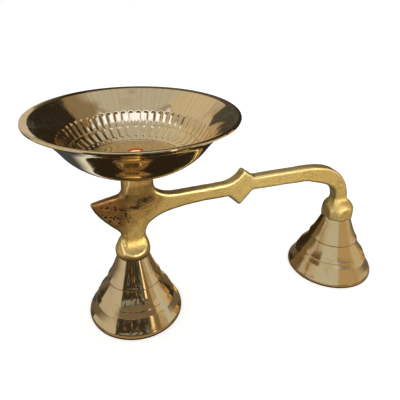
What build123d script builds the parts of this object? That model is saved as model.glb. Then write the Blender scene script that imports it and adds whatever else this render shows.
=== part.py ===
from build123d import *
from math import pi
import os

# Brass incense burner with a handle. A spun bowl sits on the post of a sand-cast arm, and the arm stands on
# two turned, hollow bell feet. Millimetres. +Z is up and the handle runs along +X. The origin is on the floor,
# in the middle of the overall length, and the whole object is symmetric about the XZ plane.

# Driving dimensions
BOWL_RADIUS = 50.8        # outer edge of the lip
BOWL_HEIGHT = 117.3       # top of the lip above the floor
BOWL_OFFSET = 4.0         # bowl axis stands this far behind the front foot's axis
SHEET = 1.2               # thickness of the spun bowl
FOOT_RADIUS = 26.4        # rim of a bell foot
FOOT_HEIGHT = 38.0
FOOT_WEB = 3.2            # solid top of a bell, which its screw goes through
FOOT_SPACING = 131.6      # between the axes of the two feet
PLATE_THICKNESS = 6.6     # flat parts of the arm casting
POST_TOP = 92.5           # face that the bowl sits on
FLOOR_RADIUS = 22.6       # flat disc in the middle of the bowl
BALL_RADIUS = 9.5         # front boss
BALL_HEIGHT = 40.6        # middle of the ball above the floor
FACET_REACH = 6.8         # from the middle of the ball to its front and back facets
FACET_TILT = 52.0         # how far a facet's normal rises above the horizontal, in degrees
REAR_BOSS_FLATS = 17.4    # across the flats of the rear boss
REAR_BOSS_CORNERS = 18.7  # across its cut corners
REAR_DOME_RADIUS = 10.0
REAR_DOME_HEIGHT = 40.9   # middle of the dome's sphere above the floor

# Fasteners: an M6 through the bowl and an M5 up into each boss of the arm
BOWL_SCREW_RADIUS = 3.0
FOOT_SCREW_RADIUS = 2.5
THREAD_CLEARANCE = 0.05   # threads are plain cylinders, this much larger in the hole
HOLE_CLEARANCE = 0.10     # clearance holes in the bowl, the feet and the washers
WASHER_THICKNESS = 1.0

# Places along the length
LENGTH = BOWL_RADIUS - BOWL_OFFSET + FOOT_SPACING + FOOT_RADIUS
FRONT_X = BOWL_RADIUS - BOWL_OFFSET - LENGTH / 2
REAR_X = FRONT_X + FOOT_SPACING
BOWL_X = FRONT_X + BOWL_OFFSET


def bowl():
    """Spun bowl: flat floor, steep fluted wall, smooth flare and a flatter turned-out lip."""
    floor_top = POST_TOP + SHEET
    lip_inner = (BOWL_RADIUS - 4.1, BOWL_HEIGHT - 1.1)
    inner_wall = Spline(
        (FLOOR_RADIUS + 2.0, floor_top + 0.6), (32.0, floor_top + 6.3), (37.2, floor_top + 13.2),
        (41.6, floor_top + 18.3), lip_inner,
    )
    lip_top = Line(lip_inner, (BOWL_RADIUS, BOWL_HEIGHT))
    lip_edge = Line((BOWL_RADIUS, BOWL_HEIGHT), (BOWL_RADIUS - 0.3, BOWL_HEIGHT - SHEET))
    lip_under = Line((BOWL_RADIUS - 0.3, BOWL_HEIGHT - SHEET), (BOWL_RADIUS - 3.0, BOWL_HEIGHT - 1.1 - SHEET))
    outer_wall = Spline(
        (BOWL_RADIUS - 3.0, BOWL_HEIGHT - 1.1 - SHEET), (42.5, floor_top + 17.4), (38.3, floor_top + 12.5),
        (33.1, floor_top + 5.6), (FLOOR_RADIUS + 2.4, floor_top - 0.7), (FLOOR_RADIUS, POST_TOP),
    )
    under = Line((FLOOR_RADIUS, POST_TOP), (0, POST_TOP))
    axis = Line((0, POST_TOP), (0, floor_top))
    floor = Line((0, floor_top), (FLOOR_RADIUS, floor_top))
    knuckle = Line((FLOOR_RADIUS, floor_top), (FLOOR_RADIUS + 2.0, floor_top + 0.6))
    edges = [floor, knuckle, inner_wall, lip_top, lip_edge, lip_under, outer_wall, under, axis]
    body = revolve(Plane.XZ * make_face(edges), Axis.Z)
    body -= Pos(0, 0, POST_TOP) * Cylinder(BOWL_SCREW_RADIUS + HOLE_CLEARANCE, 10 * SHEET)
    return Pos(BOWL_X, 0, 0) * body


def washer(outer_radius, screw_radius, bottom):
    """Plain round washer lying on its lower face."""
    disc = Cylinder(outer_radius, WASHER_THICKNESS) - Cylinder(screw_radius + HOLE_CLEARANCE, 4)
    return Pos(0, 0, bottom + WASHER_THICKNESS / 2) * disc


def screw(shank_radius, shank_length, head_radius, head_height, slot_width, slot_depth):
    """Slotted round-head screw, head up, with the underside of the head at z = 0."""
    dome_radius = (head_radius**2 + head_height**2) / (2 * head_height)
    dome = Pos(0, 0, head_height - dome_radius) * Sphere(dome_radius)
    head = Pos(0, 0, head_height / 2) * Cylinder(head_radius, head_height) & dome
    shank = Pos(0, 0, -shank_length / 2) * Cylinder(shank_radius, shank_length)
    slot = Pos(0, 0, head_height) * Box(3 * head_radius, slot_width, 2 * slot_depth)
    return head + chamfer(shank.edges().sort_by(Axis.Z)[0], 0.25 * shank_radius) - slot


def bowl_screw():
    """Domed screw that clamps the bowl onto the post."""
    return Pos(BOWL_X, 0, POST_TOP + SHEET + WASHER_THICKNESS) * screw(BOWL_SCREW_RADIUS, 14.0, 5.2, 3.6, 1.4, 1.7)


def foot():
    """Hollow bell in three tiers, the lowest with a sloping shoulder and a rolled rim, on its rim at the origin."""
    neck_radius = 8.7
    tier_1 = Spline((neck_radius, FOOT_HEIGHT), (neck_radius - 0.1, 35.4), (11.2, 28.2), (14.9, 22.9))
    step_1 = Line((14.9, 22.9), (14.3, 22.3))
    tier_2 = Spline((14.3, 22.3), (16.9, 18.3), (20.4, 13.4))
    step_2 = Line((20.4, 13.4), (19.6, 12.7))
    shoulder = Line((19.6, 12.7), (22.0, 10.2))
    tier_3 = Spline((22.0, 10.2), (23.2, 7.4), (24.4, 4.9))
    rim_shoulder = Line((24.4, 4.9), (FOOT_RADIUS - 0.4, 2.9))
    rim = Line((FOOT_RADIUS - 0.4, 2.9), (FOOT_RADIUS, 1.3))
    rim_round = Line((FOOT_RADIUS, 1.3), (FOOT_RADIUS - 0.2, 0))
    under = Line((FOOT_RADIUS - 0.2, 0), (FOOT_RADIUS - 2.0, 0))
    ceiling = FOOT_HEIGHT - FOOT_WEB
    inside = Line((FOOT_RADIUS - 2.0, 0), (6.3, 32.8))
    inside_top = Line((6.3, 32.8), (6.3, ceiling))
    ceiling_line = Line((6.3, ceiling), (0, ceiling))
    axis = Line((0, ceiling), (0, FOOT_HEIGHT))
    top = Line((0, FOOT_HEIGHT), (neck_radius, FOOT_HEIGHT))
    edges = [top, tier_1, step_1, tier_2, step_2, shoulder, tier_3, rim_shoulder, rim, rim_round, under]
    edges += [inside, inside_top, ceiling_line, axis]
    bell = revolve(Plane.XZ * make_face(edges), Axis.Z)
    return bell - Pos(0, 0, FOOT_HEIGHT) * Cylinder(FOOT_SCREW_RADIUS + HOLE_CLEARANCE, 4 * FOOT_WEB)


def foot_screw():
    """Round-head screw, head down, up through the top of a bell."""
    seat = FOOT_HEIGHT - FOOT_WEB - WASHER_THICKNESS
    upright = screw(FOOT_SCREW_RADIUS, 13.0, 4.6, 3.2, 1.2, 1.4)
    return Pos(0, 0, seat) * Rot(180, 0, 0) * upright


def foot_washer():
    """Washer between the screw's head and the inside top of a bell."""
    return washer(5.2, FOOT_SCREW_RADIUS, FOOT_HEIGHT - FOOT_WEB - WASHER_THICKNESS)


def arm_plate():
    """Flat part of the casting: leaf-shaped tail, handle bar with a diamond, and the bend to the rear boss.
    x is measured from the front foot's axis."""
    tail_tip, tail_root = (-20.5, 71.5), (-2.6, 75.2)
    bar_start, diamond_left = (24.0, 71.8), (51.0, 72.6)
    diamond_top, diamond_right = (62.6, 79.9), (69.3, 74.9)
    bend_start, bend_end = (104.0, 75.5), (134.6, 52.0)
    inner_end, inner_start = (126.0, 52.0), (104.0, 66.8)
    lower_right, diamond_bottom, lower_left = (69.0, 66.8), (61.3, 58.2), (54.2, 64.8)
    web_start, web_end = (40.0, 64.4), (6.0, 50.0)
    notch, leaf_side = (-4.8, 50.9), (-12.9, 59.0)
    edges = [
        Polyline(tail_tip, tail_root, (-2.6, 82.0), (10.4, 82.0)),
        Bezier((10.4, 82.0), (11.2, 72.0), bar_start),
        Line(bar_start, diamond_left),
        Bezier(diamond_left, (58.5, 73.2), diamond_top),
        Polyline(diamond_top, diamond_right, bend_start),
        Bezier(bend_start, (124.6, 75.5), (132.2, 66.0), bend_end),
        Polyline(bend_end, (134.6, 44.0), (126.0, 44.0), inner_end),
        Bezier(inner_end, (125.8, 60.3), (118.8, 63.3), inner_start),
        Polyline(inner_start, lower_right, diamond_bottom, lower_left, web_start),
        Bezier(web_start, (24.0, 63.5), (7.8, 61.0), web_end),
        Polyline(web_end, (6.0, 44.0), (-4.2, 44.0), notch, leaf_side),
        Bezier(leaf_side, (-19.0, 65.1), tail_tip),
    ]
    return extrude(Plane.XZ * make_face(edges), amount=PLATE_THICKNESS / 2, both=True)


def column_section(z, left, right, flat_left, flat_right, half_depth):
    """Six-sided section of the upright column, its two pointed ends on the parting plane of the casting."""
    corners = [(left, 0), (flat_left, -half_depth), (flat_right, -half_depth)]
    corners += [(right, 0), (flat_right, half_depth), (flat_left, half_depth)]
    return Plane.XY.offset(z) * make_face(Polyline(*corners, close=True))


def column():
    """Neck over the front boss, widening through the body of the arm into the post under the bowl."""
    neck = column_section(44.0, -5.5, 6.6, -4.0, 5.2, 4.4)
    body = column_section(58.0, -5.0, 8.0, -3.9, 6.4, 4.0)
    shoulder = column_section(76.0, -4.4, 12.4, -3.2, 9.3, 5.8)
    top = column_section(POST_TOP, -4.4, 12.4, 1.6, 9.4, 6.0)
    return loft([neck, body], ruled=True) + loft([body, shoulder], ruled=True) + loft([shoulder, top], ruled=True)


def front_boss():
    """Ball over the front foot, cut flat where the foot's neck meets it, with a slanting facet front and back."""
    ball = Pos(0, 0, BALL_HEIGHT) * Sphere(BALL_RADIUS)
    ball &= Pos(0, 0, FOOT_HEIGHT + 15) * Box(40, 40, 30)
    for side in (-1, 1):
        facing = Pos(0, 0, BALL_HEIGHT) * Rot(side * (FACET_TILT - 90), 0, 0)
        ball -= facing * Pos(0, 0, FACET_REACH + 10) * Box(40, 40, 20)
    return ball


def rear_boss():
    """Square boss with its corners cut off, over the rear foot. Its domed top scallops the eight sides."""
    square = Pos(0, 0, FOOT_HEIGHT + 10) * Box(REAR_BOSS_FLATS, REAR_BOSS_FLATS, 20)
    corners = Pos(0, 0, FOOT_HEIGHT + 10) * Rot(0, 0, 45) * Box(REAR_BOSS_CORNERS, REAR_BOSS_CORNERS, 20)
    return square & corners & Pos(0, 0, REAR_DOME_HEIGHT) * Sphere(REAR_DOME_RADIUS)


def arm_casting():
    """One sand casting, with a tapped hole in the post and in each boss."""
    casting = arm_plate() + column() + front_boss() + Pos(FOOT_SPACING, 0, 0) * rear_boss()
    foot_hole = Cylinder(FOOT_SCREW_RADIUS + THREAD_CLEARANCE, 2 * 10.5)
    casting -= Pos(0, 0, FOOT_HEIGHT) * foot_hole
    casting -= Pos(FOOT_SPACING, 0, FOOT_HEIGHT) * foot_hole
    casting -= Pos(BOWL_OFFSET, 0, POST_TOP) * Cylinder(BOWL_SCREW_RADIUS + THREAD_CLEARANCE, 2 * 14.0)
    return Pos(FRONT_X, 0, 0) * casting


def write_part(name, shape):
    """Write one sub-part to its own STEP file."""
    shape.label = name
    export_step(shape, f"parts/{name}.step")


def main():
    os.makedirs("parts", exist_ok=True)
    write_part("arm_casting", arm_casting())
    write_part("bowl", bowl())
    write_part("bowl_washer", Pos(BOWL_X, 0, 0) * washer(6.4, BOWL_SCREW_RADIUS, POST_TOP + SHEET))
    write_part("bowl_screw", bowl_screw())
    for side, x in (("front", FRONT_X), ("rear", REAR_X)):
        write_part(f"{side}_foot", Pos(x, 0, 0) * foot())
        write_part(f"{side}_foot_washer", Pos(x, 0, 0) * foot_washer())
        write_part(f"{side}_foot_screw", Pos(x, 0, 0) * foot_screw())


main()
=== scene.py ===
"""Looks of a brass incense burner: a fluted, polished bowl on a sand-cast arm that stands on two bell feet."""
import math

import bpy
import numpy as np
from mathutils import Matrix, Vector


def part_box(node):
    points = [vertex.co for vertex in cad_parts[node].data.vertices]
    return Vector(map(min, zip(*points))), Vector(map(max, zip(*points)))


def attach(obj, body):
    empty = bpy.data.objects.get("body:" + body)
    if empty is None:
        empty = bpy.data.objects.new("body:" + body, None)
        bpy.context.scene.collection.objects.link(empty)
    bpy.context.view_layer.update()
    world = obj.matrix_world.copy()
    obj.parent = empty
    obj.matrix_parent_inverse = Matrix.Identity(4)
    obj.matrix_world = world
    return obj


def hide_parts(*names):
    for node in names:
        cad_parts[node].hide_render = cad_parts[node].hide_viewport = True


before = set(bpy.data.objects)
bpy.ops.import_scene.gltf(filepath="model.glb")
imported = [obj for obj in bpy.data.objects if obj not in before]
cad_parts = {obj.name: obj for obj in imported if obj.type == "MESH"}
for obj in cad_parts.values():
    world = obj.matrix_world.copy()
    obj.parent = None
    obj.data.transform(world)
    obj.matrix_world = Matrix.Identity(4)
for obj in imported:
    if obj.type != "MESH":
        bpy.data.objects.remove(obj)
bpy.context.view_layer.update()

MM = 0.001


def middle_of(node):
    """Middle of a CAD node seen from above, and its lowest and highest points, in millimetres."""
    low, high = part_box(node)
    return (low.x + high.x) / 2 / MM, (low.y + high.y) / 2 / MM, low.z / MM, high.z / MM


# ---------------------------------------------------------------- places, read from the frame, in millimetres
BOWL_X, _, BOWL_BOTTOM, BOWL_TOP = middle_of("bowl")
FRONT_X, _, _, FOOT_TOP = middle_of("front_foot")
REAR_X = middle_of("rear_foot")[0]
SEAT = middle_of("bowl_washer")[2]          # floor of the bowl, which its washer lies on
BOWL_RADIUS = (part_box("bowl")[1].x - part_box("bowl")[0].x) / 2 / MM
SHEET = SEAT - BOWL_BOTTOM


# ---------------------------------------------------------------- mesh helpers
def curve_through(stations, count):
    """A smooth run of count points through a few (radius, height) stations."""
    stations = np.array(stations, float)
    chord = np.r_[0, np.cumsum(np.hypot(*np.diff(stations, axis=0).T))]
    tangents = np.gradient(stations, chord, axis=0, edge_order=2 if len(chord) > 2 else 1)
    at = np.linspace(0, chord[-1], count)
    i = np.clip(np.searchsorted(chord, at, side="right") - 1, 0, len(chord) - 2)
    span = (chord[i + 1] - chord[i])[:, None]
    t = (at - chord[i])[:, None] / span
    here, there = stations[i], stations[i + 1]
    return (here * (1 + 2 * t) * (1 - t) ** 2 + there * t * t * (3 - 2 * t)
            + span * tangents[i] * t * (1 - t) ** 2 + span * tangents[i + 1] * t * t * (t - 1))


def rounded(corners, radius, steps=3, closed=True):
    """A profile whose corners are softened over about the given length on each side."""
    corners = np.array(corners, float)
    softened = []
    for i, corner in enumerate(corners):
        if not closed and i in (0, len(corners) - 1):
            softened.append(corner)
            continue
        sides = [corners[i - 1] - corner, corners[(i + 1) % len(corners)] - corner]
        ends = []
        for side in sides:
            length = math.hypot(*side)
            ends.append(corner + side / length * min(radius, 0.4 * length))
        for t in np.linspace(0, 1, steps + 1):
            softened.append((1 - t) ** 2 * ends[0] + 2 * t * (1 - t) * corner + t * t * ends[1])
    return np.array(softened)


def turned(profile, segments, closed=True):
    """Vertices and faces of a (radius, height) profile turned about Z. An open profile is closed at the axis.
    A profile may also be a grid, with one (radius, height) for each step round."""
    profile = np.asarray(profile, float)
    if profile.ndim == 2:
        profile = np.repeat(profile[:, None, :], segments, axis=1)
    rows = len(profile)
    angle = np.arange(segments) * 2 * math.pi / segments
    radius, height = profile[..., 0], profile[..., 1]
    points = np.stack([radius * np.cos(angle), radius * np.sin(angle), height], axis=-1).reshape(-1, 3)
    row, step = np.meshgrid(np.arange(rows if closed else rows - 1), np.arange(segments), indexing="ij")
    after_row, after_step = (row + 1) % rows, (step + 1) % segments
    quads = np.stack([row * segments + step, row * segments + after_step,
                      after_row * segments + after_step, after_row * segments + step], axis=-1)
    faces = quads.reshape(-1, 4).tolist()
    if not closed:
        ring = list(range(segments))
        faces.append(ring[::-1])
        faces.append([(rows - 1) * segments + i for i in ring])
    return points, faces


def surface_of(field, origin, step):
    """Closed quad mesh where a sampled distance field changes sign, one vertex for each cell it crosses."""
    inside = field < 0
    cells = tuple(n - 1 for n in field.shape)

    def corner(values, offset):
        return values[tuple(slice(o, o + n) for o, n in zip(offset, cells))]

    corners = [(i, j, k) for i in (0, 1) for j in (0, 1) for k in (0, 1)]
    count = sum(corner(inside, c).astype(np.int8) for c in corners)
    active = (count > 0) & (count < 8)
    number = np.full(cells, -1)
    number[active] = np.arange(active.sum())
    total, crossings = np.zeros((active.sum(), 3)), np.zeros(active.sum())
    for start in corners:
        for axis in range(3):
            if start[axis]:
                continue
            end = tuple(o + (a == axis) for a, o in enumerate(start))
            f0, f1 = corner(field, start)[active], corner(field, end)[active]
            crosses = (f0 < 0) != (f1 < 0)
            share = np.where(crosses, f0 / np.where(crosses, f0 - f1, 1), 0)
            point = np.array(start, float) + share[:, None] * np.eye(3)[axis]
            total += point * crosses[:, None]
            crossings += crosses
    points = np.array(origin) + step * (np.argwhere(active) + total / crossings[:, None])
    faces = []
    for axis in range(3):
        u, v = (axis + 1) % 3, (axis + 2) % 3
        low = [slice(1, -1)] * 3
        high = [slice(1, -1)] * 3
        low[axis], high[axis] = slice(0, -1), slice(1, None)
        first, second = inside[tuple(low)], inside[tuple(high)]
        at = np.argwhere(first != second)
        outward = first[tuple(at.T)]
        base = at + np.array([0 if a == axis else 1 for a in range(3)])
        loop = []
        for du, dv in ((0, 0), (-1, 0), (-1, -1), (0, -1)):
            cell = base.copy()
            cell[:, u] += du
            cell[:, v] += dv
            loop.append(number[tuple(cell.T)])
        loop = np.stack(loop, axis=1)
        loop[~outward] = loop[~outward][:, ::-1]
        faces.append(loop)
    return points, np.concatenate(faces).tolist()


def add_piece(name, points, faces, place, sharp_degrees):
    """Object from vertices in millimetres about its own place, shaded smooth except at sharp edges."""
    mesh = bpy.data.meshes.new(name)
    mesh.from_pydata((np.asarray(points) * MM).tolist(), [], faces)
    mesh.polygons.foreach_set("use_smooth", np.ones(len(mesh.polygons), bool))
    mesh.set_sharp_from_angle(angle=math.radians(sharp_degrees))
    piece = bpy.data.objects.new(name, mesh)
    piece.location = Vector(place) * MM
    bpy.context.scene.collection.objects.link(piece)
    return piece


def finish_piece(piece, material, node, body):
    """Gives a piece its material, hides the CAD node it stands in for, and hangs it from the body that carries
    it.
    """
    piece.data.materials.append(material)
    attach(piece, body)
    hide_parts(node)


def soft_min(a, b, width):
    """Smaller of two distances, blended over a width so that the join is a fillet."""
    share = np.clip(0.5 + 0.5 * (b - a) / width, 0, 1)
    return b + (a - b) * share - width * share * (1 - share)


def soft_max(a, b, width):
    """Larger of two distances, blended over a width so that the edge is rounded."""
    return -soft_min(-a, -b, width)


def smooth_step(low, high, value):
    """0 below low, 1 above high, and a soft slope between them."""
    t = np.clip((value - low) / (high - low), 0, 1)
    return t * t * (3 - 2 * t)


# ---------------------------------------------------------------- bowl
BOWL_HOLE = 3.15          # for the clamp screw, in the bowl and in its washer
FLOOR_RADIUS = 22.4       # flat disc in the middle
# Raised ring round the disc: radius, height above the floor.
RING = [(22.4, 0.0), (22.55, 0.06), (22.65, 0.4), (22.85, 0.58), (23.3, 0.62), (23.8, 0.5), (24.2, 0.55)]
LOWER_FLUTES = 44         # scoops of the lower tier, each with a bead at its foot
UPPER_FLUTES = 55
STEPS_ROUND = 660         # a whole number for each flute of both tiers
FLUTE_DEPTH = 0.31
LEDGE = 0.28              # the lower tier lies this much deeper than the upper one
BEAD_RADIUS, BEAD_HEIGHT = 0.68, 0.34
WALL = [(24.2, 0.55), (27.6, 2.6), (32.0, 6.3), (37.2, 13.2), (41.9, 18.5), (46.7, 22.45)]    # above the floor
UNDERSIDE = [(48.0, 22.4), (42.8, 18.6), (38.6, 13.7), (33.4, 6.9), (26.2, 1.3)]            # above the seat


def scoop(across, along, half_width):
    """Depth share of a round-ended scoop. Across and along are the distances from its middle line and from the
    centre of its end."""
    reach = np.minimum(np.hypot(across, np.maximum(along, 0)) / half_width, 1)
    return 0.5 + 0.5 * np.cos(math.pi * reach**1.15)


def bowl_wall():
    """Inner wall as a grid: fluted in two tiers, then a plain flare."""
    run = curve_through(WALL, 400)
    length = np.r_[0, np.cumsum(np.hypot(*np.diff(run, axis=0).T))]
    radius_at = lambda s: np.interp(s, length, run[:, 0])
    tier_edge = np.interp(32.0, run[:, 0], length)
    tier_top = np.interp(37.3, run[:, 0], length)
    lower_foot = np.interp(26.6, run[:, 0], length)
    bead_line = np.interp(25.6, run[:, 0], length)
    rows = np.r_[np.linspace(0, tier_edge - 0.4, 26), np.linspace(tier_edge - 0.3, tier_edge + 0.3, 5),
                 np.linspace(tier_edge + 0.6, tier_top + 0.2, 24), np.linspace(tier_top + 0.8, length[-1], 12)]
    base = np.stack([radius_at(rows), np.interp(rows, length, run[:, 1])], axis=1)
    slope = np.gradient(base, rows, axis=0)
    slope /= np.hypot(*slope.T)[:, None]
    into_sheet = np.stack([slope[:, 1], -slope[:, 0]], axis=1)
    share = np.arange(STEPS_ROUND) / STEPS_ROUND
    along = rows[:, None]

    def tier(flutes, top):
        half_pitch = math.pi * base[:, 0] / flutes
        across = (share[None, :] * flutes % 1 - 0.5) * 2 * half_pitch[:, None]
        end = top - math.pi * radius_at(top) / flutes
        return across, scoop(across, along - end, half_pitch[:, None])

    across, lower = tier(LOWER_FLUTES, tier_edge)
    lower = lower * smooth_step(lower_foot - 0.4, lower_foot + 0.5, along)
    bead = np.maximum(1 - (across**2 + (along - bead_line) ** 2) / BEAD_RADIUS**2, 0)
    upper = tier(UPPER_FLUTES, tier_top)[1] * smooth_step(tier_edge, tier_edge + 0.15, along)
    ledge = LEDGE * smooth_step(lower_foot, tier_edge - 1, along)
    ledge = ledge * (1 - smooth_step(tier_edge - 0.1, tier_edge + 0.2, along))
    depth = FLUTE_DEPTH * (lower * (along < tier_edge) + upper) + ledge - BEAD_HEIGHT * bead
    return base[:, None, :] + depth[..., None] * into_sheet[:, None, :]


def make_bowl():
    """Spun and fluted bowl, its origin on its axis at the underside."""
    hole = BOWL_HOLE
    floor_rows = rounded([(hole, 0), (hole, SHEET), (FLOOR_RADIUS, SHEET)], 0.15, closed=False)[1:]
    floor_rows = np.r_[floor_rows, np.stack([np.linspace(4, FLOOR_RADIUS, 8)[:-1], np.full(7, SHEET)], axis=1)]
    floor_rows = floor_rows[np.argsort(floor_rows[:, 0], kind="stable")]
    ring_rows = np.array(RING) + (0, SHEET)
    lip_start = (WALL[-1][0], SHEET + WALL[-1][1])
    top = BOWL_TOP - BOWL_BOTTOM
    lip = curve_through([lip_start, (47.05, top - 0.86), (48.4, top - 0.34), (49.9, top),
                         (BOWL_RADIUS - 0.15, top - 0.32), (BOWL_RADIUS - 0.05, top - 1.0),
                         (BOWL_RADIUS - 0.7, top - 1.3), UNDERSIDE[0]], 20)
    under = curve_through(UNDERSIDE, 16)
    seat = rounded([UNDERSIDE[-1], (23.6, 0.0), (12.0, 0.0), (hole, 0.0)], 1.5, steps=4, closed=False)[1:]

    def grid(rows):
        return np.repeat(rows[:, None, :], STEPS_ROUND, axis=1)

    wall = bowl_wall()
    wall[..., 1] += SHEET
    profile = np.concatenate([grid(floor_rows), grid(ring_rows[1:-1]), wall,
                              grid(lip[1:]), grid(under[1:]), grid(seat)])
    points, faces = turned(profile[::-1], STEPS_ROUND)
    return add_piece("polished_bowl", points, faces, (BOWL_X, 0, BOWL_BOTTOM), 32)


# ---------------------------------------------------------------- bell feet
FOOT_STEPS = 224          # round the axis
FOOT_HOLE = 2.65          # for the clamp screw, in the bell and in its washer
# Profiles of the tiers, the rim and the inside: radius, height above the floor.
TIER_1 = [(8.4, 38.0), (9.6, 34.9), (11.7, 29.6), (13.8, 25.2), (15.0, 23.3)]
TIER_2 = [(14.4, 22.4), (16.4, 18.9), (20.4, 13.7)]
SHOULDER = [(19.7, 12.8), (20.85, 11.5), (22.0, 10.2)]
TIER_3 = [(22.0, 10.2), (23.2, 7.4), (24.4, 4.9)]
RIM = [(26.0, 2.9), (26.4, 1.3), (26.2, 0.0), (24.5, 0.0)]
BELL_INSIDE = [(23.8, 1.4), (20.9, 6.2), (17.6, 12.6), (13.6, 19.4), (10.4, 25.6), (6.9, 32.4)]
BELL_CEILING = 34.8


def make_foot(name, axis_x):
    """Hollow bell in three tiers, the lowest with a sloping shoulder, over a rolled rim."""
    hole = FOOT_HOLE
    outside = [curve_through(tier, 16) for tier in (TIER_1, TIER_2)]
    outside.append(np.concatenate([curve_through(SHOULDER, 7)[:-1], curve_through(TIER_3, 13)]))
    crisp = 0.16
    edge_runs = []
    for above, below in zip(outside, outside[1:]):
        corners = [above[-2], above[-1], below[0], below[1]]
        edge_runs.append(rounded(corners, crisp, steps=2, closed=False)[1:-1])
    rim = rounded([outside[2][-1]] + RIM + [BELL_INSIDE[0]], 0.45, steps=3, closed=False)[1:-1]
    inside = curve_through(BELL_INSIDE, 24)
    top = rounded([inside[-1], (6.3, BELL_CEILING), (hole, BELL_CEILING), (hole, FOOT_TOP),
                   outside[0][0], outside[0][1]], 0.3, steps=2, closed=False)[1:-1]
    profile = np.concatenate([outside[0][1:-1], edge_runs[0], outside[1][1:-1], edge_runs[1],
                              outside[2][1:], rim, inside, top])
    points, faces = turned(profile[::-1], FOOT_STEPS)
    return add_piece(name, points, faces, (axis_x, 0, 0), 28)


# ---------------------------------------------------------------- washers and screws
def make_washer(name, node, hole):
    """Stamped washer: one edge rounded by the die, a fine burr-free hole."""
    x, _, bottom, top = middle_of(node)
    outer = (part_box(node)[1].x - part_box(node)[0].x) / 2 / MM
    thick = top - bottom
    profile = rounded([(hole, 0), (outer, 0), (outer, thick), (hole, thick)], 0.22, steps=3)
    points, faces = turned(profile, 96)
    return add_piece(name, points, faces, (x, 0, bottom), 35)


def make_screw(name, node, shank, pitch, head_height, slot_width, slot_depth, head_down):
    """Slotted round-head screw with a rolled thread. Its origin is on its axis, under the head."""
    low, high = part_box(node)
    head_radius = (high.x - low.x) / 2 / MM
    whole = (high.z - low.z) / MM
    shank_length = whole - head_height
    steps = 72
    share = np.arange(steps) / steps
    depth = 0.54 * pitch
    heights = np.linspace(-shank_length + 0.3, -0.1, int(shank_length / pitch * 12))
    phase = (heights[:, None] / pitch - share[None, :]) % 1
    crest = np.clip(1 - np.abs(phase - 0.5) * 2.3, 0, 0.85) / 0.85
    fade = smooth_step(-shank_length + 0.2, -shank_length + 1.6, heights)
    fade = fade * (1 - smooth_step(-0.9, -0.2, heights))
    radius = shank - 0.06 - depth + depth * crest * fade[:, None]
    thread = np.stack([radius, np.repeat(heights[:, None], steps, axis=1)], axis=-1)
    tip = np.repeat(np.array([(shank - depth - 0.5, -shank_length)])[:, None, :], steps, axis=1)
    dome = [(math.sin(a) ** 0.8 * head_radius, head_height * (1 - (1 - math.cos(a)) ** 1.1))
            for a in np.linspace(1.42, 0.06, 14)]
    head = rounded([(shank - depth, 0), (head_radius - 0.25, 0), (head_radius, 0.3)], 0.12, closed=False)
    cap = np.repeat(np.r_[head, dome][:, None, :], steps, axis=1)
    points, faces = turned(np.concatenate([tip, thread, cap]), steps, closed=False)
    screw = add_piece(name, points, faces, (0, 0, 0), 40)
    cut_slot(screw, head_radius, head_height, slot_width, slot_depth)
    seat_z = low.z / MM + head_height if head_down else high.z / MM - head_height
    if head_down:
        screw.data.transform(Matrix.Rotation(math.pi, 4, "X"))
    screw.location = Vector(((low.x + high.x) / 2, 0, seat_z * MM))
    return screw


def cut_slot(screw, head_radius, head_height, width, depth):
    """Saws the driver slot across a screw's head."""
    bottom, top = head_height - depth, head_height + 1
    reach = head_radius + 1
    corners = [(x, y, z) for x in (-reach, reach) for y in (-width / 2, width / 2) for z in (bottom, top)]
    sides = [(0, 1, 3, 2), (4, 6, 7, 5), (0, 4, 5, 1), (2, 3, 7, 6), (0, 2, 6, 4), (1, 5, 7, 3)]
    saw = add_piece("saw", np.array(corners), sides, (0, 0, 0), 30)
    cut = screw.modifiers.new("slot", "BOOLEAN")
    cut.operation, cut.solver, cut.object = "DIFFERENCE", "EXACT", saw
    bpy.context.view_layer.update()
    made = bpy.data.meshes.new_from_object(screw.evaluated_get(bpy.context.evaluated_depsgraph_get()))
    screw.modifiers.clear()
    screw.data = made
    made.set_sharp_from_angle(angle=math.radians(35))
    bpy.data.objects.remove(saw)


# ---------------------------------------------------------------- arm casting
# Measured from the front foot's axis (x), the parting plane of the mould (y) and the floor (z).
ARM_CELL = 0.5            # spacing of the grid that the casting's shape is sampled on
FOOT_SPACING = REAR_X - FRONT_X
BOWL_OFFSET = BOWL_X - FRONT_X
POST_TOP = BOWL_BOTTOM
HALF_THICKNESS = [        # distance from the axis, half thickness of the flat parts
    (-20, 1.5), (-8, 1.9), (0, 2.8), (24, 3.0), (60, 3.1), (104, 3.2), (118, 3.6), (140, 4.0),
]
COLUMN = [                # height, left end, right end, left and right edges of the front face, half depth
    (44.0, -5.6, 6.6, -4.0, 5.2, 4.3), (58.0, -5.2, 8.0, -3.9, 6.4, 3.9),
    (66.0, -4.8, 10.0, -3.8, 7.4, 3.8), (72.0, -4.5, 11.4, -3.6, 8.4, 4.6),
    (76.0, -4.4, 12.2, -3.2, 8.9, 5.4), (80.5, -4.4, 12.4, -1.6, 9.2, 5.9),
    (92.5, -4.4, 12.4, 1.6, 9.4, 6.0),
]
LEFT_EDGE = [(44, 1.0), (54, 1.2), (60, 3.6), (72, 3.4), (77, 1.2), (92, 1.0)]      # height, softness
BALL_RADIUS, BALL_HEIGHT = 9.5, 40.6
BALL_FACET_TILT, BALL_FACET_REACH = math.radians(52), 6.8
BALL_CORNER, BALL_CORNER_REACH = (-0.81, 0.47, 0.35), 9.0      # direction of the smaller facets
NUT_FLAT, NUT_CORNER_CUT = 8.7, 9.35
NUT_DOME_RADIUS, NUT_DOME_HEIGHT = 10.0, 40.9
FOOT_SCREW_HOLE, BOWL_SCREW_HOLE = (2.75, 10.6), (3.25, 14.1)     # radius and depth of the tapped holes
PLAY = 1.6                # room round the casting in the sampled grid


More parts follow.
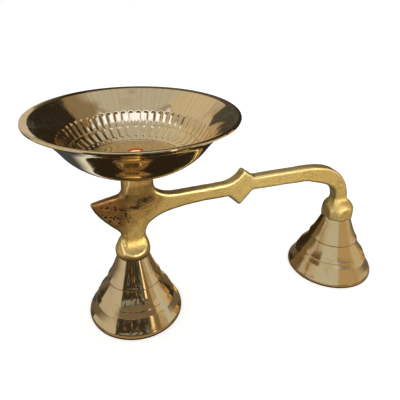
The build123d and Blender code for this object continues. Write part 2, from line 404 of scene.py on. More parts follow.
def bow(controls, count=14):
    """Points along a Bezier curve, without its last one."""
    controls = np.array(controls, float)
    share = np.linspace(0, 1, count, endpoint=False)[:, None]
    power = len(controls) - 1
    weights = (math.comb(power, i) * share**i * (1 - share) ** (power - i) for i in range(power + 1))
    return sum(weight * control for weight, control in zip(weights, controls))


def arm_outline():
    """Outline of the arm's flat parts: leaf-shaped tail, handle with a diamond, bend to the rear boss."""
    tail_tip, tail_root = (-20.5, 71.5), (-2.6, 75.2)
    bar_start, diamond_left = (24.0, 71.8), (51.0, 72.6)
    diamond_top, diamond_right = (62.6, 79.9), (69.3, 74.9)
    bend_start, bend_end = (104.0, 75.5), (134.6, 52.0)
    inner_end, inner_start = (126.0, 52.0), (104.0, 66.8)
    lower_right, diamond_bottom, lower_left = (69.0, 66.8), (61.3, 58.2), (54.2, 64.8)
    web_start, web_end = (40.0, 64.4), (6.0, 50.0)
    notch, leaf_side = (-4.8, 50.9), (-12.9, 59.0)
    return np.concatenate([
        [tail_tip, tail_root, (-2.6, 82.0)],
        bow([(10.4, 82.0), (11.2, 72.0), bar_start]), [bar_start],
        bow([diamond_left, (58.5, 73.2), diamond_top]), [diamond_top, diamond_right],
        bow([bend_start, (124.6, 75.5), (132.2, 66.0), bend_end], 24),
        [bend_end, (134.6, 44.0), (126.0, 44.0)],
        bow([inner_end, (125.8, 60.3), (118.8, 63.3), inner_start], 20),
        [inner_start, lower_right, diamond_bottom, lower_left],
        bow([web_start, (24.0, 63.5), (7.8, 61.0), web_end], 20), [web_end, (6.0, 44.0), (-4.2, 44.0), notch],
        bow([leaf_side, (-19.0, 65.1), tail_tip]),
    ])


def outline_distance(x, z, outline):
    """Distance from points to a closed outline, negative inside it."""
    nearest, inside = np.full(x.shape, np.inf), np.zeros(x.shape, bool)
    for (x0, z0), (x1, z1) in zip(outline, np.roll(outline, -1, axis=0)):
        dx, dz = x1 - x0, z1 - z0
        share = np.clip(((x - x0) * dx + (z - z0) * dz) / max(dx * dx + dz * dz, 1e-9), 0, 1)
        nearest = np.minimum(nearest, np.hypot(x - x0 - share * dx, z - z0 - share * dz))
        if dz:
            inside ^= ((z0 > z) != (z1 > z)) & (x < x0 + (z - z0) / dz * dx)
    return np.where(inside, -nearest, nearest)


def blurred(field, axis):
    """Field averaged a little along one axis."""
    padded = np.concatenate([field.take([0], axis), field, field.take([-1], axis)], axis)
    n = field.shape[axis]
    take = lambda start: padded.take(range(start, start + n), axis)
    return (take(0) + 2 * take(1) + take(2)) / 4


def lumps(shape, cells, seed):
    """Smooth random field about as high as 1, with one lump for each given number of cells."""
    field = np.random.RandomState(seed).uniform(-1, 1, [int(n / cells) + 3 for n in shape])
    for axis, n in enumerate(shape):
        at = np.arange(n) / cells
        low = at.astype(int)
        share = smooth_step(0, 1, at - low)
        weights = np.zeros((n, field.shape[axis]))
        weights[np.arange(n), low] = 1 - share
        weights[np.arange(n), low + 1] = share
        field = np.moveaxis(np.tensordot(weights, field, (1, axis)), 0, axis)
    return field


def column_field(x, y, z):
    """Six-sided column: the neck over the front boss, the body of the arm and the post under the bowl."""
    heights, left, right, flat_left, flat_right, half_depth = np.array(COLUMN).T
    left, right, flat_left, flat_right, half_depth = (
        np.interp(z, heights, values) for values in (left, right, flat_left, flat_right, half_depth))
    on_right = ((x - right) * half_depth + y * (right - flat_right)) / np.hypot(half_depth, right - flat_right)
    on_left = ((left - x) * half_depth + y * (flat_left - left)) / np.hypot(half_depth, flat_left - left)
    left_edge = np.interp(z, *np.array(LEFT_EDGE).T)
    sides = soft_max(soft_max(y - half_depth, on_right, 4.0), on_left, left_edge)
    return np.maximum(sides, np.maximum(z - POST_TOP, 42.0 - z))


def ball_field(x, y, z):
    """Boss over the front foot: a ball with a slanting facet on its front and back, and hints of two more."""
    ball = np.sqrt(x * x + y * y + (z - BALL_HEIGHT) ** 2) - BALL_RADIUS
    facet = y * math.cos(BALL_FACET_TILT) + (z - BALL_HEIGHT) * math.sin(BALL_FACET_TILT)
    facet = facet - BALL_FACET_REACH
    across, deep, up = BALL_CORNER
    corner = across * x + deep * y + up * (z - BALL_HEIGHT) - BALL_CORNER_REACH
    return soft_max(soft_max(ball, facet, 0.55), corner, 0.4)


def nut_field(x, y, z):
    """Boss over the rear foot: square with its corners cut off, under a dome that scallops its sides."""
    x = np.abs(x - FOOT_SPACING)
    flats = np.maximum(x, y) - NUT_FLAT
    corners = (x + y) / math.sqrt(2) - NUT_CORNER_CUT
    dome = np.sqrt(x * x + y * y + (z - NUT_DOME_HEIGHT) ** 2) - NUT_DOME_RADIUS
    return soft_max(soft_max(flats, corners, 0.5), dome, 0.45)


def hole_field(x, y, z, axis_x, radius, bottom, top):
    """Round hole along Z."""
    return np.maximum(np.hypot(x - axis_x, y) - radius, np.maximum(bottom - z, z - top))


def groove_field(x, y, z, start, end, radius):
    """Round groove along a straight line."""
    start, end = np.array(start), np.array(end)
    along = end - start
    dx, dy, dz = x - start[0], y - start[1], z - start[2]
    share = np.clip((dx * along[0] + dy * along[1] + dz * along[2]) / (along @ along), 0, 1)
    dx, dy, dz = dx - share * along[0], dy - share * along[1], dz - share * along[2]
    return np.sqrt(dx**2 + dy**2 + dz**2) - radius


def arm_field(low, counts):
    """Distance field of the whole casting on a grid that starts at low."""
    x, y, z = (low[i] + ARM_CELL * np.arange(counts[i]) for i in range(3))
    flat_x, flat_z = np.meshgrid(x, z, indexing="ij")
    outline = outline_distance(flat_x, flat_z, arm_outline())
    for axis in (0, 1, 0, 1):
        outline = blurred(outline, axis)
    x, y, z = x[:, None, None], np.abs(y)[None, :, None], z[None, None, :]
    half_thickness = np.interp(x, *np.array(HALF_THICKNESS).T)
    plate = soft_max(outline[:, None, :], y - half_thickness, 1.5)
    solid = soft_min(plate, column_field(x, y, z), 2.6)
    solid = soft_min(solid, ball_field(x, y, z), 2.6)
    solid = soft_min(solid, nut_field(x, y, z), 2.2)
    solid = solid + 0.10 * lumps(counts, 11, 3) + 0.05 * lumps(counts, 4, 5)
    crease = groove_field(x, y, z, (-4.0, 4.3, 57.5), (-4.4, 5.0, 46.0), 0.55)
    solid = soft_max(solid, -crease, 0.5)
    solid = np.maximum(solid, np.maximum(FOOT_TOP - z, z - POST_TOP))
    radius, depth = FOOT_SCREW_HOLE
    for axis_x in (0, FOOT_SPACING):
        solid = np.maximum(solid, -hole_field(x, y, z, axis_x, radius, FOOT_TOP - 1, FOOT_TOP + depth))
    radius, depth = BOWL_SCREW_HOLE
    return np.maximum(solid, -hole_field(x, y, z, BOWL_OFFSET, radius, POST_TOP - depth, POST_TOP + 1))


def make_arm():
    """The sand casting, sampled from its distance field. Its edge attribute is high where its skin turns
    outward."""
    low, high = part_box("arm_casting")
    start = np.array([low.x / MM - FRONT_X, low.y / MM, low.z / MM]) - PLAY
    end = np.array([high.x / MM - FRONT_X, high.y / MM, high.z / MM]) + PLAY
    counts = np.ceil((end - start) / ARM_CELL).astype(int)
    field = arm_field(start, counts)
    points, faces = surface_of(field, start, ARM_CELL)
    arm = add_piece("sand_cast_arm", points, faces, (FRONT_X, 0, 0), 60)
    bend = field
    for axis in (0, 1, 2) * 3:
        bend = blurred(bend, axis)
    cell = np.clip(((points - start) / ARM_CELL + 0.5).astype(int), 0, counts - 1)
    turn = (bend - field)[tuple(cell.T)]
    attribute = arm.data.attributes.new("edge", "FLOAT", "POINT")
    attribute.data.foreach_set("value", np.clip(turn / 0.12, -1, 1).astype(np.float32))
    return arm


# ---------------------------------------------------------------- materials
class Recipe:
    """Short way to lay down a material's nodes."""

    def __init__(self, name=None, tree=None):
        self.tree = tree
        if name:
            self.material = bpy.data.materials.new(name)
            self.material.use_nodes = True
            self.tree = self.material.node_tree
            self.shader = self.tree.nodes["Principled BSDF"]
            self.place = self.put("ShaderNodeTexCoord").outputs["Object"]

    def put(self, kind, inputs=None, **settings):
        """Adds a node. Each input is a value, or the output socket that feeds it."""
        made = self.tree.nodes.new(kind)
        for key, value in settings.items():
            setattr(made, key, value)
        for socket, value in (inputs or {}).items():
            if isinstance(value, bpy.types.NodeSocket):
                self.tree.links.new(value, made.inputs[socket])
            else:
                made.inputs[socket].default_value = value
        return made

    def noise(self, size_mm, detail=3.0, roughness=0.55):
        """Noise whose lumps are about size_mm wide."""
        inputs = {"Vector": self.place, "Scale": 1000 / size_mm, "Detail": detail, "Roughness": roughness}
        return self.put("ShaderNodeTexNoise", inputs).outputs["Fac"]

    def map(self, value, low, high, to_low, to_high):
        """Carries a value from one range to another, clamped, with soft ends."""
        inputs = {"Value": value, "From Min": low, "From Max": high, "To Min": to_low, "To Max": to_high}
        return self.put("ShaderNodeMapRange", inputs, interpolation_type="SMOOTHSTEP").outputs["Result"]

    def math(self, operation, a, b=0.0):
        """One sum on values or output sockets."""
        return self.put("ShaderNodeMath", {0: a, 1: b}, operation=operation).outputs[0]

    def mix(self, share, a, b):
        """Colour a where share is 0 and b where it is 1."""
        node = self.put("ShaderNodeMix", data_type="RGBA")
        for socket, value in ((node.inputs[0], share), (node.inputs[6], a), (node.inputs[7], b)):
            if isinstance(value, bpy.types.NodeSocket):
                self.tree.links.new(value, socket)
            elif isinstance(value, tuple):
                socket.default_value = (*value, 1)
            else:
                socket.default_value = value
        return node.outputs[2]

    def bump(self, height, depth_mm, under=None):
        """Normal of a surface that is depth_mm higher where height is 1, laid over another normal."""
        inputs = {"Height": height, "Distance": depth_mm * MM, "Strength": 1.0}
        if under:
            inputs["Normal"] = under
        return self.put("ShaderNodeBump", inputs).outputs["Normal"]

    def finish(self, **sockets):
        """Sets or feeds the shader's inputs, named with _ for a space, and gives the material."""
        for name, value in sockets.items():
            socket = self.shader.inputs[name.replace("_", " ")]
            if isinstance(value, bpy.types.NodeSocket):
                self.tree.links.new(value, socket)
            else:
                socket.default_value = (*value, 1) if isinstance(value, tuple) else value
        return self.material


def turning_lines(recipe, spacing_mm):
    """Value that changes only along the profile of a turned part: the fine rings that the lathe leaves."""
    split = recipe.put("ShaderNodeSeparateXYZ", {0: recipe.place})
    squares = [recipe.math("MULTIPLY", split.outputs[i], split.outputs[i]) for i in (0, 1)]
    radius = recipe.math("SQRT", recipe.math("ADD", *squares))
    along = recipe.math("SUBTRACT", radius, recipe.math("MULTIPLY", split.outputs[2], 0.83))
    inputs = {"W": along, "Scale": 1000 / spacing_mm, "Detail": 2.0, "Roughness": 0.7}
    return recipe.put("ShaderNodeTexNoise", inputs, noise_dimensions="1D").outputs["Fac"]


def radial_lines(recipe, count):
    """Value that changes only with the bearing round a turned part, in about count streaks."""
    split = recipe.put("ShaderNodeSeparateXYZ", {0: recipe.place})
    bearing = recipe.math("ARCTAN2", split.outputs[1], split.outputs[0])
    inputs = {"W": bearing, "Scale": count / (2 * math.pi), "Detail": 1.5, "Roughness": 0.6}
    return recipe.put("ShaderNodeTexNoise", inputs, noise_dimensions="1D").outputs["Fac"]


STREAK_TINT = 130      # how much a streak's depth, in millimetres, darkens the brass
STREAK_COUNT = 170     # round a turned part
SPECK_SPACING = 2.3    # millimetres between the specks of dirt on polished brass
PIT_SPACING = 1.9      # and between the blow-holes of the casting


def polished_brass(name, bright, deep, gloss, handled, lines_mm, streaks_mm):
    """Buffed brass: turning lines under the polish, handling marks, pin-head specks, hairline scratches."""
    recipe = Recipe(name)
    haze = recipe.noise(9.0, 4.0, 0.6)
    fine = recipe.noise(0.9, 3.0, 0.6)
    lines = turning_lines(recipe, lines_mm)
    inputs = {"Vector": recipe.place, "Scale": 1000 / SPECK_SPACING}
    specks = recipe.put("ShaderNodeTexVoronoi", inputs).outputs["Distance"]
    speck = recipe.map(specks, 0.035, 0.075, 1.0, 0.0)
    tarnish = recipe.map(haze, 0.52, 0.74, 0.0, 0.55)
    color = recipe.mix(tarnish, bright, deep)
    streaks = radial_lines(recipe, STREAK_COUNT)
    color = recipe.mix(recipe.map(streaks, 0.42, 0.66, 0.0, STREAK_TINT * streaks_mm), color, deep)
    color = recipe.mix(recipe.math("MULTIPLY", speck, 0.45), color, (0.72, 0.68, 0.58))
    smear = recipe.math("ADD", haze, recipe.math("MULTIPLY", fine, 0.35))
    smear = recipe.map(smear, 0.62, 0.9, gloss, handled)
    rough = recipe.math("ADD", smear, recipe.math("MULTIPLY", speck, 0.25))
    rough = recipe.math("ADD", rough, recipe.map(lines, 0.45, 0.8, 0.0, 0.03))
    inputs = {"Vector": recipe.place, "Rotation": (0.5, 0.3, 0.7), "Scale": (40, 900, 900)}
    scratch_place = recipe.put("ShaderNodeMapping", inputs).outputs[0]
    inputs = {"Vector": scratch_place, "Scale": 1.0, "Detail": 1.0}
    scratches = recipe.put("ShaderNodeTexNoise", inputs).outputs["Fac"]
    scratch = recipe.map(scratches, 0.70, 0.78, 0.0, 1.0)
    normal = recipe.bump(lines, 0.0009)
    normal = recipe.bump(streaks, streaks_mm, under=normal)
    normal = recipe.bump(recipe.math("ADD", scratch, recipe.math("MULTIPLY", fine, 0.6)), 0.0011, under=normal)
    return recipe.finish(Base_Color=color, Metallic=1.0, Roughness=rough, Normal=normal)


def cast_brass():
    """Sand-cast brass, barrelled bright: fine grain, worn edges partly painted as a highlight, brown patina
    mixed with painted shade of the bowl and painted shade under the front ball, and dirt and blow-holes left
    in the skin.
    """
    recipe = Recipe("cast_brass_skin")
    grain = recipe.noise(0.5, 4.0, 0.75)
    patch = recipe.noise(7.0, 3.0, 0.6)
    split = recipe.put("ShaderNodeSeparateXYZ", {0: recipe.place})
    x, z = split.outputs[0], split.outputs[2]

    def near(center, reach):
        """1 at a place on either face of the casting, fading to 0 at reach (all in millimetres)."""
        dx = recipe.math("DIVIDE", recipe.math("SUBTRACT", x, center[0] * MM), reach[0] * MM)
        dz = recipe.math("DIVIDE", recipe.math("SUBTRACT", z, center[1] * MM), reach[1] * MM)
        distance = recipe.math("ADD", recipe.math("MULTIPLY", dx, dx), recipe.math("MULTIPLY", dz, dz))
        return recipe.map(distance, 0.0, 1.0, 1.0, 0.0)

    edge = recipe.put("ShaderNodeAttribute", attribute_name="edge").outputs["Fac"]
    ridge = recipe.map(recipe.math("ADD", edge, recipe.math("MULTIPLY", grain, 0.5)), 0.5, 1.1, 0.0, 1.0)
    color = recipe.mix(recipe.map(grain, 0.36, 0.66, 0.0, 1.0), (0.43, 0.30, 0.085), (0.78, 0.59, 0.235))
    # Leaf and body under the bowl: brown patina mixed with painted shade that the bowl casts, in darker brown.
    leaf = near((-11.0, 66.0), (19.0, 18.0))
    body = near((3.0, 79.0), (19.0, 23.0))
    patina_and_bowl_shade = recipe.map(recipe.math("MAXIMUM", leaf, body), 0.0, 0.45, 0.0, 1.0)
    patina_and_bowl_shade = recipe.math("MULTIPLY", patina_and_bowl_shade, recipe.map(patch, 0.3, 0.62, 0.72, 1.0))
    coarse = recipe.map(grain, 0.3, 0.7, 0.0, 1.0)
    color = recipe.mix(patina_and_bowl_shade, color, recipe.mix(coarse, (0.25, 0.140, 0.038), (0.52, 0.34, 0.115)))
    tail = recipe.math("MULTIPLY", recipe.map(near((-13.0, 66.0), (13.0, 15.0)), 0.0, 0.5, 0.0, 1.0), 0.66)
    color = recipe.mix(tail, color, recipe.mix(coarse, (0.07, 0.032, 0.010), (0.25, 0.135, 0.045)))
    # Painted shade on the underside of the front ball, in dark brown.
    ball_underside_shade = recipe.math("MULTIPLY", near((0.0, 37.0), (14.0, 6.0)), 0.9)
    color = recipe.mix(ball_underside_shade, color, (0.22, 0.145, 0.045))
    rust = recipe.math("MULTIPLY", near((-12.0, 71.0), (13.0, 5.0)), recipe.map(patch, 0.35, 0.6, 0.35, 0.9))
    color = recipe.mix(rust, color, (0.30, 0.12, 0.04))
    smut = recipe.map(recipe.noise(1.5, 4.0, 0.8), 0.34, 0.52, 0.0, 1.0)
    soot = recipe.math("MAXIMUM", near((6.8, 71.2), (7.5, 3.4)), near((2.0, 68.4), (5.0, 2.6)))
    soot = recipe.math("MULTIPLY", soot, smut)
    color = recipe.mix(recipe.math("MULTIPLY", soot, 0.95), color, (0.030, 0.014, 0.010))
    inputs = {"Vector": recipe.place, "Scale": 1000 / PIT_SPACING, "Randomness": 1.0}
    cells = recipe.put("ShaderNodeTexVoronoi", inputs)
    jagged = recipe.math("SUBTRACT", cells.outputs["Distance"], recipe.math("MULTIPLY", grain, 0.42))
    hole = recipe.map(jagged, 0.09, 0.19, 1.0, 0.0)
    chosen = recipe.map(recipe.noise(3.2, 2.0, 0.5), 0.34, 0.44, 0.0, 1.0)
    pitted = recipe.math("MAXIMUM", near((-11.0, 65.0), (6.5, 7.5)), near((-5.0, 62.5), (5.0, 5.5)))
    pits = recipe.math("MULTIPLY", hole, chosen)
    pits = recipe.math("MULTIPLY", pits, recipe.map(pitted, 0.05, 0.35, 0.0, 1.0))
    color = recipe.mix(recipe.math("MULTIPLY", pits, 0.97), color, (0.022, 0.010, 0.014))
    specks = recipe.map(recipe.noise(0.45, 2.0, 0.6), 0.68, 0.74, 0.0, 0.75)
    specks = recipe.math("MULTIPLY", specks, recipe.map(patch, 0.4, 0.6, 0.2, 1.0))
    color = recipe.mix(specks, color, (0.10, 0.055, 0.025))
    # Worn ridges in pale brass, partly a painted edge highlight, kept faint on the leaf and in the painted
    # shade under the ball.
    patina_and_shade = recipe.math("MAXIMUM", leaf, ball_underside_shade)
    worn_edge_and_highlight = recipe.math("MULTIPLY", ridge, recipe.map(patina_and_shade, 0.0, 0.4, 0.45, 0.12))
    color = recipe.mix(worn_edge_and_highlight, color, (0.88, 0.72, 0.38))
    rough = recipe.math("SUBTRACT", grain, recipe.math("MULTIPLY", ridge, 0.3))
    rough = recipe.map(rough, 0.2, 0.7, 0.36, 0.55)
    rough = recipe.math("ADD", rough, recipe.math("MULTIPLY", recipe.math("MAXIMUM", pits, soot), 0.3))
    normal = recipe.bump(recipe.math("SUBTRACT", grain, recipe.math("MULTIPLY", pits, 1.5)), 0.12)
    normal = recipe.bump(recipe.noise(1.8, 3.0, 0.6), 0.13, under=normal)
    return recipe.finish(Base_Color=color, Metallic=1.0, Roughness=rough, Normal=normal)


def fastener_metal(name, bright, dull, gloss):
    """Plated or plain screw metal: drawn lines, dull stains and slightly uneven gloss."""
    recipe = Recipe(name)
    stain = recipe.noise(2.5, 4.0, 0.65)
    color = recipe.mix(recipe.map(stain, 0.42, 0.68, 0.0, 1.0), bright, dull)
    rough = recipe.map(stain, 0.35, 0.7, gloss, gloss + 0.18)
    normal = recipe.bump(turning_lines(recipe, 0.12), 0.003)
    normal = recipe.bump(recipe.noise(0.25, 3.0, 0.7), 0.004, under=normal)
    return recipe.finish(Base_Color=color, Metallic=1.0, Roughness=rough, Normal=normal)


# ---------------------------------------------------------------- assembly
bowl_brass = polished_brass("bowl_polish", (0.80, 0.62, 0.36), (0.66, 0.47, 0.22),
                            gloss=0.058, handled=0.15, lines_mm=0.30, streaks_mm=0.0035)
front_brass = polished_brass("front_foot_polish", (0.82, 0.64, 0.38), (0.66, 0.47, 0.22),
                             gloss=0.055, handled=0.16, lines_mm=0.22, streaks_mm=0.0005)
rear_brass = polished_brass("rear_foot_polish", (0.80, 0.60, 0.33), (0.62, 0.42, 0.18),
                            gloss=0.15, handled=0.26, lines_mm=0.22, streaks_mm=0.0005)
washer_brass = fastener_metal("washer_brass", (0.75, 0.56, 0.28), (0.45, 0.30, 0.12), 0.22)
copper = fastener_metal("screw_copper", (1.0, 0.36, 0.09), (0.85, 0.24, 0.05), 0.22)
steel = fastener_metal("screw_steel", (0.55, 0.54, 0.52), (0.30, 0.28, 0.25), 0.28)
finish_piece(make_bowl(), bowl_brass, "bowl", "bowl_set")
arm = make_arm()
finish_piece(arm, cast_brass(), "arm_casting", "arm")
bowl_washer = make_washer("bowl_washer_ring", "bowl_washer", BOWL_HOLE)
finish_piece(bowl_washer, washer_brass, "bowl_washer", "bowl_set")
bowl_screw = make_screw("bowl_clamp_screw", "bowl_screw", shank=3.0, pitch=1.0, head_height=3.6,
                        slot_width=1.4, slot_depth=1.7, head_down=False)
finish_piece(bowl_screw, copper, "bowl_screw", "bowl_fastener")
for side, axis_x, foot_brass in (("front", FRONT_X, front_brass), ("rear", REAR_X, rear_brass)):
    body = side + "_foot_set"
    bell = make_foot(side + "_bell", axis_x)
    finish_piece(bell, foot_brass, side + "_foot", body)
    foot_washer = make_washer(side + "_washer_ring", side + "_foot_washer", FOOT_HOLE)
    finish_piece(foot_washer, steel, side + "_foot_washer", body)
    foot_screw = make_screw(side + "_clamp_screw", side + "_foot_screw", shank=2.5, pitch=0.8,
                            head_height=3.2, slot_width=1.2, slot_depth=1.4, head_down=True)
    finish_piece(foot_screw, steel, side + "_foot_screw", side + "_foot_fastener")


# ---------------------------------------------------------------- camera
CAMERA_AZIMUTH, CAMERA_ELEVATION = math.radians(-18.59), math.radians(25.09)
CAMERA_ROLL = math.radians(0.55)
CAMERA_LENS, CAMERA_SHIFT = 37.01, (0.025, -0.075)
CAMERA_DISTANCE = 215.91
CAMERA_TARGET = Vector((FRONT_X + 32.37, 0, 83.05))


def add_camera():
    """Camera that looks down on the burner from the front, a little to the left."""
    back = Vector((math.sin(CAMERA_AZIMUTH) * math.cos(CAMERA_ELEVATION),
                   -math.cos(CAMERA_AZIMUTH) * math.cos(CAMERA_ELEVATION), math.sin(CAMERA_ELEVATION)))
    level = Vector((math.cos(CAMERA_AZIMUTH), math.sin(CAMERA_AZIMUTH), 0))
    upright = back.cross(level)
    right = math.cos(CAMERA_ROLL) * level + math.sin(CAMERA_ROLL) * upright
    up = back.cross(right)
    data = bpy.data.cameras.new("camera")
    data.sensor_width = 36
    data.lens = CAMERA_LENS
    data.shift_x, data.shift_y = CAMERA_SHIFT
    data.clip_start = 0.01
    camera = bpy.data.objects.new("camera", data)
    place = (CAMERA_TARGET + CAMERA_DISTANCE * back) * MM
    camera.matrix_world = Matrix((right, up, back)).transposed().to_4x4()
    camera.location = place
    bpy.context.scene.collection.objects.link(camera)
    bpy.context.scene.camera = camera


add_camera()


# ---------------------------------------------------------------- studio
WHITE = (1.0, 1.0, 1.0)
# What the brass mirrors, later panels over earlier ones: first and last bearing from +X towards +Y, lower and
# upper height above the horizon at the first bearing and how fast they rise from there, softness of the edges,
# all in degrees, and the brightness in red, green and blue.
ROOM = [
    (-180, 180, 54, 90, 0, 8, (0.57, 0.60, 0.64)),
    (-180, -20, 27, 56, 0, 5, (0.36, 0.32, 0.26)),
    (-180, -20, 28, 43, 0, 2, (0.20, 0.155, 0.10)),
    (-178, -28, 45, 53, 0, 4, (0.95, 1.08, 1.45)),
    (-142, -66, 45, 53, 0, 8, (1.45, 1.72, 2.60)),
    (-25, 62, 36, 62, 0, 12, (0.30, 0.25, 0.18)),
    (90, 181, 22, 62, 0, 9, (0.68, 0.65, 0.58)),
    (88, 156, 34, 47, -0.5, 1, (0.56, 0.51, 0.45)),
    (108, 148, -40, 20, 0, 4, (0.045, 0.040, 0.030)),
    (118, 150, 12, 22, 0, 2, (0.60, 0.56, 0.48)),
    (146, 181, -40, 34, 0, 3, (0.54, 0.52, 0.47)),
    (-181, -150, -40, 31, 0, 1, (0.58, 0.56, 0.50)),
    (-149, -72, -40, 31, 0, 1, (0.045, 0.038, 0.027)),
    (-66, -60, -40, 22, 0, 1, (1.5, 1.25, 0.80)),
    (-59, -46, -40, 31, 0, 2, (0.24, 0.18, 0.11)),
    (-45, 2, -40, 31, 0, 1, (0.62, 0.56, 0.45)),
    (40, 80, -40, 49, 0, 1, (0.030, 0.026, 0.022)),
    (8, 41, -40, 36.5, 0.45, 1, (0.030, 0.026, 0.022)),
    (5, 16, -40, 26, 0, 3, (0.80, 0.50, 0.18)),
    (72, 112, -40, 41, -0.5, 1, (0.07, 0.07, 0.065)),
]
WALLS = (0.13, 0.11, 0.08)           # where there is no panel
PAST_SEAM = 9                        # panels that end at -180 or 180 degrees run on by this, to hide the seam
HORIZON = (-16.0, -2.0)              # the walls fade into the ground between these heights
GROUND_NEAR, GROUND_FAR = (0.028, 0.021, 0.014), (0.17, 0.14, 0.10)
GROUND_PANELS = [                    # laid out as the panels of the room are
    (50, 66, -38, -27, 0, 2, (0.70, 0.45, 0.12)),
    (-175, -20, -34, -8, 0, 6, (0.36, 0.26, 0.14)),
]
SHEEN_PLACE = (84, 136, -42, -14, -0.36, 1)      # bright patch of ground that fades towards its top
SHEEN_BRIGHT, SHEEN_DIM = (1.0, 1.04, 1.06), (0.065, 0.075, 0.085)
MOTTLES = [  # in the dark walls: how fine, bearing and height ranges, amount, colour
    (6.0, -146, -73, -20, 34, 0.55, (0.17, 0.20, 0.19)),
    (4.5, -148, -73, 22, 30, 0.44, (0.34, 0.38, 0.36)),
    (9.0, -140, -80, -16, 26, 0.63, (0.80, 0.32, 0.12)),
    (70.0, 20, 75, -30, 48, 0.66, (0.45, 0.40, 0.32)),
    (90.0, 68, 112, 10, 38, 0.60, (0.60, 0.54, 0.45)),
]


def add_world():
    """Room that only reflections show: panels all round, a pale ceiling and a dark ground. Seen directly it
    is white."""
    world = bpy.data.worlds.new("studio")
    world.use_nodes = True
    world.node_tree.nodes.clear()
    room = Recipe(tree=world.node_tree)
    direction = room.put("ShaderNodeTexCoord").outputs["Generated"]
    split = room.put("ShaderNodeSeparateXYZ", {0: direction})
    bearing = room.math("DEGREES", room.math("ARCTAN2", split.outputs[1], split.outputs[0]))
    height = room.math("DEGREES", room.math("ARCSINE", split.outputs[2]))

    def window(start, end, bottom, top, rise, edge):
        """1 inside a panel and 0 outside it."""
        drift = room.math("MULTIPLY", room.math("SUBTRACT", bearing, float(start)), float(rise))
        level = room.math("SUBTRACT", height, drift)
        sides = room.math("MULTIPLY", room.map(bearing, start - edge / 2, start + edge / 2, 0.0, 1.0),
                          room.map(bearing, end - edge / 2, end + edge / 2, 1.0, 0.0))
        ends = room.math("MULTIPLY", room.map(level, bottom - edge / 2, bottom + edge / 2, 0.0, 1.0),
                         room.map(level, top - edge / 2, top + edge / 2, 1.0, 0.0))
        return room.math("MULTIPLY", sides, ends)

    seen = WALLS
    for start, end, bottom, top, rise, edge, color in ROOM:
        if start <= -180:
            start = start - PAST_SEAM
        if end >= 180:
            end = end + PAST_SEAM
        seen = room.mix(window(start, end, bottom, top, rise, edge), seen, color)
    for fineness, start, end, bottom, top, amount, color in MOTTLES:
        inputs = {"Vector": direction, "Scale": fineness, "Detail": 3.0}
        mottle = room.put("ShaderNodeTexNoise", inputs).outputs["Fac"]
        share = room.map(mottle, amount, amount + 0.07, 0.0, 0.8)
        share = room.math("MULTIPLY", share, window(start, end, bottom, top, 0, 2))
        seen = room.mix(share, seen, color)
    ground = room.mix(room.map(height, -46.0, -36.0, 0.0, 1.0), GROUND_NEAR, GROUND_FAR)
    # Degrees above a line that lies 49 below the horizon at bearing 103 and falls from there.
    drop = room.math("MULTIPLY", room.math("SUBTRACT", bearing, 103.0), 0.36)
    above = room.math("ADD", room.math("ADD", height, 49.0), drop)
    sheen = room.mix(room.map(above, 0.0, 9.5, 0.0, 1.0), SHEEN_BRIGHT, SHEEN_DIM)
    ground = room.mix(window(*SHEEN_PLACE), ground, sheen)
    for *place, color in GROUND_PANELS:
        ground = room.mix(window(*place), ground, color)
    seen = room.mix(room.map(height, *HORIZON, 0.0, 1.0), ground, seen)
    path = room.put("ShaderNodeLightPath")
    seen = room.mix(path.outputs["Is Glossy Ray"], (0.75, 0.74, 0.72), seen)
    seen = room.mix(path.outputs["Is Camera Ray"], seen, WHITE)
    background = room.put("ShaderNodeBackground", {"Color": seen, "Strength": 1.0})
    room.tree.links.new(background.outputs[0], room.put("ShaderNodeOutputWorld").inputs[0])
    bpy.context.scene.world = world


def emission(name, color):
    """Material that only glows."""
    material = bpy.data.materials.new(name)
    material.use_nodes = True
    tree = material.node_tree
    tree.nodes.clear()
    glow = tree.nodes.new("ShaderNodeEmission")
    glow.inputs["Color"].default_value = (*color, 1)
    tree.links.new(glow.outputs[0], tree.nodes.new("ShaderNodeOutputMaterial").inputs[0])
    return material


def add_card(name, start, end, bottom, top, color):
    """Upright card between two places on the floor plan, in millimetres. Only reflections show it."""
    corners = [(*start, bottom), (*end, bottom), (*end, top), (*start, top)]
    mesh = bpy.data.meshes.new(name)
    mesh.from_pydata([tuple(c * MM for c in corner) for corner in corners], [], [(0, 1, 2, 3)])
    mesh.materials.append(emission(name, color))
    card = bpy.data.objects.new(name, mesh)
    bpy.context.scene.collection.objects.link(card)
    card.visible_camera = card.visible_diffuse = card.visible_shadow = False


def add_light(name, place, aim, size, power, color, lit):
    """Rectangular soft light that faces an aim point, both in millimetres. It lights one piece only."""
    data = bpy.data.lights.new(name, "AREA")
    data.shape = "RECTANGLE"
    data.size, data.size_y = size[0] * MM, size[1] * MM
    data.energy = power
    data.color = color
    light = bpy.data.objects.new(name, data)
    light.location = Vector(place) * MM
    light.rotation_euler = (Vector(place) - Vector(aim)).to_track_quat("Z", "Y").to_euler()
    bpy.context.scene.collection.objects.link(light)
    light.light_linking.receiver_collection = lit


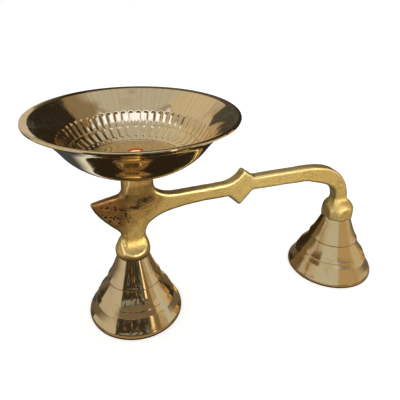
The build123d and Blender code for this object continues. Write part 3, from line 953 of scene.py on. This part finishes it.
def add_floor():
    """Plain pale floor. Brass doesn't mirror it, so that undersides stay deep."""
    reach = 3.0
    mesh = bpy.data.meshes.new("floor")
    corners = [(-reach, -reach, 0), (reach, -reach, 0), (reach, reach, 0), (-reach, reach, 0)]
    mesh.from_pydata(corners, [], [(0, 1, 2, 3)])
    paper = Recipe("floor_paper")
    tone = paper.map(paper.noise(40.0, 3.0, 0.5), 0.3, 0.7, 0.90, 0.92)
    color = paper.mix(tone, (0.0, 0.0, 0.0), WHITE)
    mesh.materials.append(paper.finish(Base_Color=color, Roughness=0.9, Specular_IOR_Level=0.0,
                                       Emission_Color=WHITE, Emission_Strength=0.5))
    floor = bpy.data.objects.new("floor", mesh)
    bpy.context.scene.collection.objects.link(floor)
    floor.visible_glossy = False


add_world()
add_floor()
add_card("grey_card", (10, -30), (64, -75), -5, 95, (0.58, 0.62, 0.62))
add_card("tan_card", (60, -131), (230, -135), -5, 100, (0.50, 0.40, 0.25))
add_card("dark_card", (97, 98), (12, 77), -5, 92, (0.03, 0.02, 0.012))
add_card("gold_card", (12, 77), (-34, 66), -5, 92, (0.20, 0.145, 0.07))
add_card("cream_card", (-240, 150), (-70, 150), 128, 190, (0.66, 0.60, 0.54))
add_card("brown_card", (11, 37), (8, 20), -5, 42, (0.15, 0.105, 0.05))
arm_only = bpy.data.collections.new("lit_by_arm_lights")
arm_only.objects.link(arm)
add_light("arm_key", (150, -420, 160), (50, 0, 70), (460, 200), 2.2, (1.0, 0.95, 0.85), arm_only)
add_light("arm_top", (60, 60, 420), (60, 0, 70), (420, 300), 0.4, (1.0, 0.96, 0.88), arm_only)
add_light("arm_left", (-380, -160, 120), (0, 0, 75), (240, 200), 0.45, (1.0, 0.96, 0.88), arm_only)
screw_only = bpy.data.collections.new("lit_by_screw_light")
screw_only.objects.link(bowl_screw)
add_light("screw_light", (0, 280, 420), (BOWL_X, 0, 95), (300, 220), 0.5, WHITE, screw_only)
bpy.context.scene.view_settings.view_transform = "Standard"
